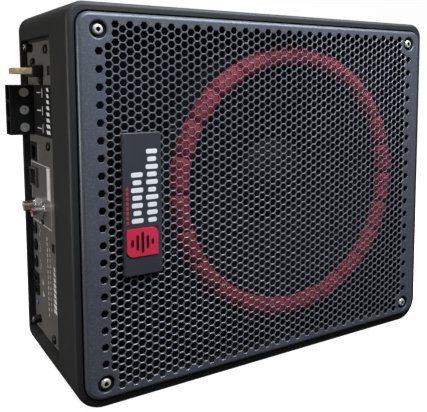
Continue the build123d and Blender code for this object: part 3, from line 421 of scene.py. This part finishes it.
def hole_spots():
    spots = []
    for column in range(2 * MID_COLUMN + 1):
        count = LONG_COLUMN_HOLES - column % 2
        x = (column - MID_COLUMN) * COLUMN_STEP
        spots += [(x, (k - (count - 1) / 2) * PITCH) for k in range(count)]
    for sign in (-1, 1):
        outer_x = sign * (MID_COLUMN + 1) * COLUMN_STEP
        spots += [(outer_x, (k - (OUTER_COLUMN_HOLES - 1) / 2) * PITCH) for k in range(OUTER_COLUMN_HOLES)]
        spots += [(sign * EDGE_COLUMN_X, (k - EDGE_COLUMN_HOLES // 2) * 2 * PITCH)
                  for k in range(EDGE_COLUMN_HOLES)]
    return spots


def edge_section():
    """Bent edge as (inset, depth): from the face round the bend, down the skirt and back inside."""
    turns = [math.radians(90 * k / EDGE_BEND_STEPS) for k in range(1, EDGE_BEND_STEPS + 1)]
    section = [(BEND_R * (1 - math.sin(t)), BEND_R * (1 - math.cos(t))) for t in turns]
    section += [(0.0, SKIRT - HEM), (HEM, SKIRT), (SHEET, SKIRT), (SHEET, BEND_R)]
    inner = BEND_R - SHEET
    section += [(BEND_R - inner * math.sin(t), BEND_R - inner * math.cos(t)) for t in reversed(turns[:-1])]
    return section


def make_grille():
    flat = []      # 2-D points of the face
    loops = []     # (first index, size, kind, spot)
    outline = tray_outline(GRILLE_W - 2 * BEND_R, GRILLE_H - 2 * BEND_R,
                           TOP_CORNER_R - BEND_R, LOW_CORNER_R - BEND_R)
    loops.append((0, len(outline), "edge", None))
    flat += outline
    for spot in hole_spots():
        loops.append((len(flat), 6, "hole", spot))
        flat += [(spot[0] + u, spot[1] + v) for u, v in ring_of(ROLLED_R, 6)]
    for sx in (-1, 1):
        for sz in (-1, 1):
            spot = (sx * EDGE_COLUMN_X, sz * SCREW_Z)
            loops.append((len(flat), DIMPLE_STEPS, "dimple", spot))
            flat += [(spot[0] + u, spot[1] + v) for u, v in ring_of(DIMPLE[0][0] * MM, DIMPLE_STEPS)]
    edges = [(a + k, a + (k + 1) % n) for a, n, _, _ in loops for k in range(n)]
    out_points, _, out_faces, from_points, _, _ = delaunay_2d_cdt(
        [Vector(p) for p in flat], edges, [], 0, MERGE_GAP)
    source = [ids[0] for ids in from_points]
    owner = {}
    for number, (a, n, kind, _) in enumerate(loops):
        for k in range(n):
            owner[a + k] = number
    plate = []
    for face in out_faces:
        ids = [source[i] for i in face]
        owners = {owner[i] for i in ids}
        if len(owners) == 1 and loops[next(iter(owners))][2] != "edge":
            continue  # inside a hole or a dimple
        plate.append(tuple(ids))

    total = len(flat)

    def at(u, v, depth):
        return (u, GRILLE_FACE_Y + depth, GRILLE_MID_Z + v)

    points = [at(u, v, 0.0) for u, v in flat] + [at(u, v, SHEET) for u, v in flat]
    faces = list(plate)
    faces += [tuple(total + i for i in reversed(face)) for face in plate]
    smooth = []
    dark = []
    rim_highlight_faces = []
    for first, size, kind, spot in loops:
        back = total + first
        if kind == "hole":
            # painted highlight on the rolled rims of the inner holes
            if abs(spot[0]) < EDGE_COLUMN_X - PITCH:
                rim_highlight_faces += range(len(faces), len(faces) + 6)
            rim = len(points)
            for k, (u, v) in enumerate(ring_of(HOLE_R, 6)):
                points.append(at(spot[0] + u, spot[1] + v, HOLE_ROLL))
                points[back + k] = at(spot[0] + u, spot[1] + v, SHEET)
            faces += strip_between(first, rim, 6)
            faces += strip_between(rim, back, 6)
            continue
        rings = [first]
        if kind == "dimple":
            for radius, depth in DIMPLE[1:-1]:
                rings.append(len(points))
                points += [at(spot[0] + u, spot[1] + v, depth * MM) for u, v in ring_of(radius * MM, size)]
            for k, (u, v) in enumerate(ring_of(DIMPLE[-1][0] * MM, size)):
                points[back + k] = at(spot[0] + u, spot[1] + v, DIMPLE[-1][1] * MM)
        else:
            for inset, depth in edge_section():
                rings.append(len(points))
                loop = tray_outline(GRILLE_W - 2 * inset, GRILLE_H - 2 * inset,
                                    TOP_CORNER_R - inset, LOW_CORNER_R - inset)
                points += [at(u, v, depth) for u, v in loop]
        rings.append(back)
        for step, (one, two) in enumerate(zip(rings, rings[1:])):
            fresh = range(len(faces), len(faces) + size)
            smooth += fresh
            # painted shade in the dimple's pit
            if kind == "dimple" and DIMPLE_SHADE_FROM <= step < DIMPLE_SHADE_TO:
                dark += fresh
            faces += strip_between(one, two, size)
    # the second material, black rubber, carries the painted shade in the dimples
    grille = add_piece("grille_perforated", points, faces, grille_mat, smooth=smooth,
                       second=rubber_and_shade_mat, second_faces=dark)
    # the third material, the lighter coat, is the painted highlight on the hole rims
    grille.data.materials.append(rim_highlight_mat)
    for index in rim_highlight_faces:
        grille.data.polygons[index].material_index = 2
    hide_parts("grille")


make_grille()

# grille screws: domed heads with a hexagon socket, whose walls and floor are coloured black as painted shade
SCREW_STEPS = 24
SCREW_SEAT = 2.1 * MM
# head section as (radius, rise above the seat)
SCREW_HEAD = [(3.6, 0.0), (3.6, 0.7), (3.45, 1.2), (3.1, 1.65), (2.6, 1.95), (2.2, 2.05)]
SOCKET_FLATS_R = 1.5 * MM
SOCKET_DEPTH = 1.6 * MM


def hexagon_ring(flats_r, count):
    ring = []
    for k in range(count):
        turn = 2 * math.pi * k / count
        reach = flats_r / math.cos((turn + math.pi / 6) % (math.pi / 3) - math.pi / 6)
        ring.append((reach * math.cos(turn), reach * math.sin(turn)))
    return ring


def make_screws():
    seat_y = SCREW_LOW.y + SCREW_SEAT
    points = []
    faces = []
    smooth = []
    dark = []
    for x in (SCREW_LOW.x + SCREW_HEAD_R, SCREW_HIGH.x - SCREW_HEAD_R):
        for z in (SCREW_LOW.z + SCREW_HEAD_R, SCREW_HIGH.z - SCREW_HEAD_R):
            rings = []
            for radius, rise in SCREW_HEAD:
                rings.append(len(points))
                points += [(x + u, seat_y - rise * MM, z + v) for u, v in ring_of(radius * MM, SCREW_STEPS)]
            top = seat_y - SCREW_HEAD[-1][1] * MM
            for depth in (0.0, SOCKET_DEPTH):
                rings.append(len(points))
                points += [(x + u, top + depth, z + v) for u, v in hexagon_ring(SOCKET_FLATS_R, SCREW_STEPS)]
            for step, (one, two) in enumerate(zip(rings, rings[1:])):
                fresh = range(len(faces), len(faces) + SCREW_STEPS)
                if step < len(SCREW_HEAD) - 1:
                    smooth += fresh
                # painted shade: the socket's walls and floor take the black material
                if step == len(rings) - 2:
                    dark += fresh
                faces += strip_between(one, two, SCREW_STEPS)
            dark.append(len(faces))
            faces.append(tuple(range(rings[-1], rings[-1] + SCREW_STEPS)))
            faces.append(tuple(range(rings[0] + SCREW_STEPS - 1, rings[0] - 1, -1)))
    screws = add_piece("grille_screw_heads", points, faces, bright_screw_mat, smooth=smooth,
                       second=black_ink_and_shade_mat, second_faces=dark)
    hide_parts("grille_screws")


make_screws()


# ---------------------------------------------------------------- woofer: parts that bend with the stroke in the real speaker, drawn here at rest
cone_low, cone_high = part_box("surround")
WOOFER = Vector(((cone_low.x + cone_high.x) / 2, 0.0, (cone_low.z + cone_high.z) / 2))
SECTORS = 24
SECTOR_STEPS = 4


def flexing_ring(name, node, material, section, dark_inside=0.0):
    """A ring of sectors, each reaching from the housing (outside) to the cone (inside)."""
    for sector in range(SECTORS):
        start = 2 * math.pi * sector / SECTORS
        step = 2 * math.pi / SECTORS / SECTOR_STEPS
        points = []
        for k in range(SECTOR_STEPS + 1):
            turn = start + k * step
            for radius, y in section:
                points.append((WOOFER.x + radius * MM * math.cos(turn), y * MM,
                               WOOFER.z + radius * MM * math.sin(turn)))
        size = len(section)
        faces = []
        for k in range(SECTOR_STEPS):
            faces += strip_between(k * size, (k + 1) * size, size)
        smooth = list(range(len(faces)))
        dark = [k for k in smooth if max(section[k % size][0], section[(k + 1) % size][0]) < dark_inside]
        faces.append(tuple(range(size)))
        faces.append(tuple(range((SECTOR_STEPS + 1) * size - 1, SECTOR_STEPS * size - 1, -1)))
        piece = add_piece(f"{name}_{sector:02d}", points, faces, material, body=None, smooth=smooth,
                          second=cone_mat, second_faces=dark)
        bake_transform(piece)
        if sector == 0:
            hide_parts(node)


def arc_points(centre_r, centre_y, radius, low, high, steps):
    return [
        (centre_r + radius * math.cos(math.radians(low + (high - low) * k / steps)),
         centre_y + radius * math.sin(math.radians(low + (high - low) * k / steps)))
        for k in range(steps + 1)
    ]


# soft parts are drawn as (radius, Y) in millimetres
ROLL_MID_R = 107.7
ROLL_STEPS = 14
CONE_EDGE_R = 100.0
roll_outside = arc_points(ROLL_MID_R, -49.0, 7.8, -180, 0, ROLL_STEPS)
roll_inside = arc_points(ROLL_MID_R, -48.6, 6.8, 0, -180, ROLL_STEPS)
SURROUND_SECTION = ([(96.5, -48.05), (96.5, -49.0)] + roll_outside + [(118.0, -49.0), (118.0, -47.05)]
                    + roll_inside + [(100.9, -48.05)])
flexing_ring("surround_roll", "surround", red_mat, SURROUND_SECTION,
             dark_inside=CONE_EDGE_R)

SPIDER_WAVES = 4
SPIDER_WAVE_STEPS = 6
SPIDER_IN, SPIDER_OUT = 25.6, 65.9
WAVES_IN, WAVES_OUT = 29, 58
SPIDER_Y = 0.2
SPIDER_T = 0.75
WAVE_HEIGHT = 1.7
spider_top = []
spider_steps = SPIDER_WAVES * SPIDER_WAVE_STEPS
for k in range(spider_steps + 1):
    radius = WAVES_IN + (WAVES_OUT - WAVES_IN) * k / spider_steps
    spider_top.append((radius, SPIDER_Y - WAVE_HEIGHT * math.sin(2 * math.pi * k / SPIDER_WAVE_STEPS)))
SPIDER_SECTION = ([(SPIDER_IN, SPIDER_Y)] + spider_top
                  + [(SPIDER_OUT, SPIDER_Y), (SPIDER_OUT, SPIDER_Y + SPIDER_T)]
                  + [(r, y + SPIDER_T) for r, y in reversed(spider_top)] + [(SPIDER_IN, SPIDER_Y + SPIDER_T)])
flexing_ring("spider_wave", "spider", cloth_mat, SPIDER_SECTION)


def tube(name, path, radius, material, body=HOUSING, sides=10):
    """A closed round tube along a list of points."""
    points = []
    faces = []
    for index, here in enumerate(path):
        ahead = path[min(index + 1, len(path) - 1)] - path[max(index - 1, 0)]
        turn = ahead.to_track_quat("Z", "Y").to_matrix()
        for u, v in ring_of(radius, sides):
            points.append(here + turn @ Vector((u, v, 0)))
        if index:
            faces += strip_between((index - 1) * sides, index * sides, sides)
    smooth = list(range(len(faces)))
    faces.append(tuple(range(sides)))
    faces.append(tuple(range(len(points) - 1, len(points) - 1 - sides, -1)))
    return add_piece(name, points, faces, material, body=body, smooth=smooth)


LEAD_R = 0.75 * MM
LEAD_INSET = 0.9 * MM
LEAD_FRONT_Y = -28.0 * MM
LEAD_REAR_Y = -9.2 * MM
LEAD_SAG = 4.0 * MM
LEAD_STEPS = 12
lead_low, lead_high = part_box("tinsel_leads")
for lead_side, lead_z in (("upper", lead_high.z - LEAD_INSET), ("lower", lead_low.z + LEAD_INSET)):
    first = Vector((lead_high.x - 0.4 * MM, LEAD_FRONT_Y, lead_z))
    last = Vector((lead_low.x + LEAD_INSET, LEAD_REAR_Y, lead_z))
    path = []
    for k in range(LEAD_STEPS + 1):
        t = k / LEAD_STEPS
        sag = Vector((0, -LEAD_SAG * math.sin(math.pi * t), 0))
        path.append(first.lerp(last, t) + sag)
    lead = tube(f"flex_lead_{lead_side}", path, LEAD_R, copper_mat, body=None)
    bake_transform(lead)
    if lead_side == "upper":
        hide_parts("tinsel_leads")

# ---------------------------------------------------------------- badge graphics
badge_low, badge_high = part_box("badge_plate")
BADGE_FACE_Y = badge_low.y
BADGE_X = (badge_low.x + badge_high.x) / 2
BADGE_TOP = badge_high.z


def on_badge(u, v, depth):
    return (u, BADGE_FACE_Y + 0.02 * MM - depth, v)


LONG_COLUMN = (8.4, 6.6, 9.2, 7.4, 8.8, 6.0, 9.4, 7.0, 8.0, 6.4)
SHORT_COLUMN = (8.6, 6.4, 9.0, 7.2, 8.2, 6.0, 8.8)
# each column as (offset from the badge's middle, drop of its first bar, lengths)
COLUMNS = ((7.0, 13.5, LONG_COLUMN), (-4.2, 29.5, SHORT_COLUMN))
BAR_STEP = 5.4
BAR_T = 3.3 * MM
BAR_R = 1.2 * MM
BADGE_PRINT = 0.22 * MM
white_bars = []
for offset, first_drop, lengths in COLUMNS:
    for index, length in enumerate(lengths):
        z = BADGE_TOP - (first_drop + BAR_STEP * index) * MM
        white_bars.append(round_bar(BADGE_X + offset * MM, z, length * MM, BAR_T, BAR_R))
slabs("badge_level_bars", white_bars, white_ink_mat, on_badge, BADGE_PRINT)
red_dashes = [round_bar(BADGE_X - 11.6 * MM, BADGE_TOP - (39.0 + 3.4 * k) * MM, 1.8 * MM, 2.4 * MM, 0.7 * MM)
              for k in range(8)]
slabs("badge_red_dashes", red_dashes, red_ink_mat, on_badge, BADGE_PRINT)

emblem_low, emblem_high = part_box("badge_emblem")
emblem_mid = (emblem_low + emblem_high) / 2


def on_emblem(u, v, depth):
    return (u, emblem_low.y + 0.02 * MM - depth, v)


wave_bars = [round_bar(emblem_mid.x + (k - 2) * 3.8 * MM, emblem_mid.z, 2.0 * MM, height * MM, 0.9 * MM)
             for k, height in enumerate((5.0, 11.0, 15.0, 9.0, 4.0))]
slabs("emblem_wave_bars", wave_bars, black_ink_and_shade_mat, on_emblem, 0.2 * MM)

# ---------------------------------------------------------------- printed marks on the control panel
panel_low, panel_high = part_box("control_panel")
PANEL_FACE_X = panel_low.x
PRINT = 0.05 * MM


def on_panel(y, z, depth):
    return (PANEL_FACE_X + 0.01 * MM - depth, y, z)


def above_patch(y, z, depth):
    return (PANEL_FACE_X - PRINT - depth, y, z)


# scale ticks round each knob, in degrees
TICKS = 11
TICK_START = -50
TICK_STEP = 28
TICK_IN_R, TICK_OUT_R = 5.9 * MM, 6.9 * MM
TICK_HALF_W = 0.16 * MM
white_marks = []
knob_names = ("knob_level", "knob_crossover", "knob_bass")
for knob in knob_names:
    spot = centre_of(knob)
    for k in range(TICKS):
        turn = math.radians(TICK_START + TICK_STEP * k)
        cy, cz = math.cos(turn), math.sin(turn)
        near, far = TICK_IN_R, TICK_OUT_R
        side_y, side_z = -cz * TICK_HALF_W, cy * TICK_HALF_W
        white_marks.append([
            (spot.y + near * cy - side_y, spot.z + near * cz - side_z),
            (spot.y + far * cy - side_y, spot.z + far * cz - side_z),
            (spot.y + far * cy + side_y, spot.z + far * cz + side_z),
            (spot.y + near * cy + side_y, spot.z + near * cz + side_z),
        ])
    for k in range(3):
        mark_y = spot.y - (11.5 + 2.2 * (k % 2)) * MM
        white_marks.append(bar(mark_y, spot.z + (k - 1) * 3.2 * MM, 0.8 * MM, 2.2 * MM))

for lever in ("switch_lever_phase", "switch_lever_power"):
    spot = centre_of(lever)
    for k in range(3):
        white_marks.append(bar(spot.y - 15.5 * MM - 1.9 * k * MM, spot.z, 0.7 * MM, (5.0 - k) * MM))

plug = centre_of("speaker_input")
jack = centre_of("jack_barrels")
frame_top = plug.z + 11.8 * MM
frame_low = jack.z - 13.0 * MM
frame_back = panel_high.y - 1.4 * MM
frame_front = panel_low.y + 12.5 * MM
line = 0.6 * MM
frame_mid_y = (frame_back + frame_front) / 2
frame_mid_z = (frame_top + frame_low) / 2
white_marks += [
    bar(frame_mid_y, frame_top, frame_back - frame_front, line),
    bar(frame_mid_y, frame_low, frame_back - frame_front, line),
    bar(frame_back, frame_mid_z, line, frame_top - frame_low),
    bar(frame_front, frame_mid_z, line, frame_top - frame_low),
]
white_marks.append(bar(frame_front + 5.4 * MM, plug.z - 1.5 * MM, 8.4 * MM, 25.0 * MM))
for k in range(15):
    white_marks.append(bar(panel_low.y + 27.0 * MM, jack.z - 84.0 * MM + k * 4.4 * MM, 1.3 * MM, 3.0 * MM))
for k in range(12):
    white_marks.append(bar(panel_low.y + 20.0 * MM, jack.z - 78.0 * MM + k * 4.4 * MM, 0.9 * MM, 2.6 * MM))
for k in range(9):
    white_marks.append(bar(panel_low.y + 8.5 * MM, jack.z - 76.0 * MM + k * 4.2 * MM, (8.0 - 0.6 * k) * MM,
                           2.9 * MM, 0.9 * MM))
port = centre_of("remote_port")
for k in range(4):
    white_marks.append(bar(port.y - 12.5 * MM, port.z + (k - 1.5) * 3.2 * MM, 0.8 * MM, 2.2 * MM))
slabs("panel_white_marks", white_marks, white_ink_mat, on_panel, PRINT)

block_low, block_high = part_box("terminal_block")
block_mid_z = (block_low.z + block_high.z) / 2
patch_front = panel_low.y + 1.5 * MM
fuse = centre_of("fuse_holder")
KNOB_RING_IN, KNOB_RING_OUT = 4.7 * MM, 5.6 * MM
KNOB_RING_STEPS = 24
dark_patches = [
    bar((block_low.y + patch_front) / 2 - 0.4 * MM, block_mid_z, block_low.y - patch_front - 1.0 * MM,
        block_high.z - block_low.z),
    bar(panel_low.y + 8.0 * MM, fuse.z, 8.0 * MM, 7.0 * MM),
    bar(panel_low.y + 9.5 * MM, jack.z - 26.0 * MM, 7.5 * MM, 7.0 * MM),
]
for knob in knob_names:
    spot = centre_of(knob)
    inner = ring_of(KNOB_RING_IN, KNOB_RING_STEPS)
    outer = ring_of(KNOB_RING_OUT, KNOB_RING_STEPS)
    for k in range(KNOB_RING_STEPS):
        after = (k + 1) % KNOB_RING_STEPS
        around = (inner[k], outer[k], outer[after], inner[after])
        dark_patches.append([(spot.y + u, spot.z + v) for u, v in around])
slabs("panel_dark_patches", dark_patches, black_ink_and_shade_mat, on_panel, PRINT + 0.01 * MM)
patch_marks = []
for k in (-1, 0, 1):
    z = block_mid_z + k * 14.0 * MM
    patch_marks.append(bar(block_low.y - 14.0 * MM, z, 12.0 * MM, 0.7 * MM))
    patch_marks.append(bar(block_low.y - 24.0 * MM, z, 1.2 * MM, 7.0 * MM))
for k in range(8):
    patch_marks.append(bar(patch_front + 11.0 * MM, block_low.z + (4.0 + 4.6 * k) * MM, (10.0 - 0.7 * k) * MM,
                           2.8 * MM, 1.2 * MM))
slabs("patch_white_marks", patch_marks, white_ink_mat, above_patch, PRINT)

POINTER_T = 0.06 * MM
for knob in knob_names:
    low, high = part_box(knob)
    spot = (low + high) / 2
    pointer = [bar(spot.y, spot.z + 3.3 * MM, 0.5 * MM, 1.6 * MM)]

    def on_knob(y, z, depth, face=low.x):
        return (face + 0.01 * MM - depth, y, z)

    slabs(f"{knob}_pointer", pointer, white_ink_mat, on_knob, POINTER_T,
          knob.split("_")[1] + "_knob")

# ---------------------------------------------------------------- floor, light and camera
scene = bpy.context.scene
scene.view_settings.view_transform = "Standard"

SWEEP_HALF_W = 5.0
SWEEP_BEND_R = 1.2
SWEEP_BEND_STEPS = 10
FLOOR_DROP = 0.0002
sweep_points = []
sweep_faces = []
sweep_section = [(-3.0, 0.0), (SWEEP_BEND_R, 0.0)]
for k in range(1, SWEEP_BEND_STEPS + 1):
    turn = math.radians(90 / SWEEP_BEND_STEPS * k)
    sweep_section.append((SWEEP_BEND_R * (1 + math.sin(turn)), SWEEP_BEND_R * (1 - math.cos(turn))))
sweep_section.append((2 * SWEEP_BEND_R, 4.0))
for x in (-SWEEP_HALF_W, SWEEP_HALF_W):
    sweep_points += [(x, y, z - FLOOR_DROP) for y, z in sweep_section]
for k in range(len(sweep_section) - 1):
    sweep_faces.append((k, k + 1, k + 1 + len(sweep_section), k + len(sweep_section)))
floor_mesh = bpy.data.meshes.new("studio_sweep")
floor_mesh.from_pydata(sweep_points, [], sweep_faces)
for polygon in floor_mesh.polygons:
    polygon.use_smooth = True
floor = bpy.data.objects.new("studio_sweep", floor_mesh)
scene.collection.objects.link(floor)


def studio_paper():
    """White paper: bright to the camera, dimmer to the object so that it throws little light upwards."""
    r = Recipe("studio_paper")
    grain = r.spread(r.noise(3 * MM), 0.3, 0.7, 0.985, 1.0)
    seen = r.add("ShaderNodeLightPath").outputs["Is Camera Ray"]
    tone = r.blend(grain, (0.90, 0.90, 0.90), (0.93, 0.93, 0.93))
    r.link(r.blend(seen, (PAPER_BOUNCE, PAPER_BOUNCE, PAPER_BOUNCE), tone), r.shader.inputs["Base Color"])
    r.link(r.spread(seen, 0.0, 1.0, 0.0, PAPER_LIFT), r.shader.inputs["Emission Strength"])
    r.set(Emission_Color=(1.0, 1.0, 1.0, 1.0), Roughness=0.95, Specular_IOR_Level=0.0)
    return r.material


PAPER_BOUNCE = 0.04
PAPER_LIFT = 0.86
floor_mesh.materials.append(studio_paper())

world = bpy.data.worlds.new("studio_air")
scene.world = world
world.use_nodes = True
air = world.node_tree
background = air.nodes["Background"]
background.inputs["Color"].default_value = (1.0, 1.0, 1.0, 1.0)
# the camera sees white; the object is lit by air that is brighter overhead than below
AIR_LOW, AIR_HIGH = 0.05, 0.20
direction = air.nodes.new("ShaderNodeTexCoord")
split = air.nodes.new("ShaderNodeSeparateXYZ")
height = air.nodes.new("ShaderNodeMapRange")
height.inputs["From Min"].default_value = -0.4
height.inputs["From Max"].default_value = 0.9
height.inputs["To Min"].default_value = AIR_LOW
height.inputs["To Max"].default_value = AIR_HIGH
seen = air.nodes.new("ShaderNodeLightPath")
choose = air.nodes.new("ShaderNodeMix")
choose.inputs["B"].default_value = 1.0
air.links.new(direction.outputs["Generated"], split.inputs["Vector"])
air.links.new(split.outputs["Z"], height.inputs["Value"])
air.links.new(seen.outputs["Is Camera Ray"], choose.inputs["Factor"])
air.links.new(height.outputs["Result"], choose.inputs["A"])
air.links.new(choose.outputs["Result"], background.inputs["Strength"])


def area_light(name, place, aim, size, power, colour=(1, 1, 1)):
    lamp = bpy.data.lights.new(name, "AREA")
    lamp.shape = "RECTANGLE"
    lamp.size, lamp.size_y = size
    lamp.energy = power
    lamp.color = colour
    holder = bpy.data.objects.new(name, lamp)
    holder.location = place
    holder.rotation_euler = (Vector(aim) - Vector(place)).to_track_quat("-Z", "Y").to_euler()
    scene.collection.objects.link(holder)
    return holder


area_light("front_softbox", (0.10, -0.34, 0.66), (0.0, -0.05, 0.16), (0.7, 0.22), 7.6, (0.86, 0.93, 1.0))
area_light("top_softbox", (0.0, 0.5, 1.2), (0.0, 0.0, 0.1), (1.2, 0.6), 10)
area_light("side_softbox", (-1.2, 0.1, 0.10), (-0.15, 0.0, 0.12), (0.5, 0.5), 8.0, (1.0, 0.98, 0.95))

# The camera stands in front and to the left, slightly above the box; its lens is shifted
# so that upright edges stay upright, and only in this place.
CAMERA_SPOT = Vector((-0.28734, -0.46903, 0.22805))
CAMERA_AIM = Vector((0.54517, 0.83286, -0.09555))
LENS = 51.909
SENSOR = 36.0
SHIFT_X = -0.0899
SHIFT_Y = -0.1502
SAME_PLACE = 0.0005

camera_data = bpy.data.cameras.new("camera")
camera_data.sensor_width = SENSOR
camera_data.lens = LENS
camera_data.clip_start = 0.01
camera_data.clip_end = 50
camera = bpy.data.objects.new("camera", camera_data)
camera.location = CAMERA_SPOT
camera.rotation_euler = CAMERA_AIM.to_track_quat("-Z", "Y").to_euler()
scene.collection.objects.link(camera)
scene.camera = camera
for path, value in (("shift_x", SHIFT_X), ("shift_y", SHIFT_Y)):
    driver = camera_data.driver_add(path).driver
    driver.type = "SCRIPTED"
    place = driver.variables.new()
    place.name = "place"
    place.type = "TRANSFORMS"
    place.targets[0].id = camera
    place.targets[0].transform_type = "LOC_X"
    place.targets[0].transform_space = "WORLD_SPACE"
    driver.expression = f"{value} if abs(place - {CAMERA_SPOT.x:.5f}) < {SAME_PLACE} else 0.0"
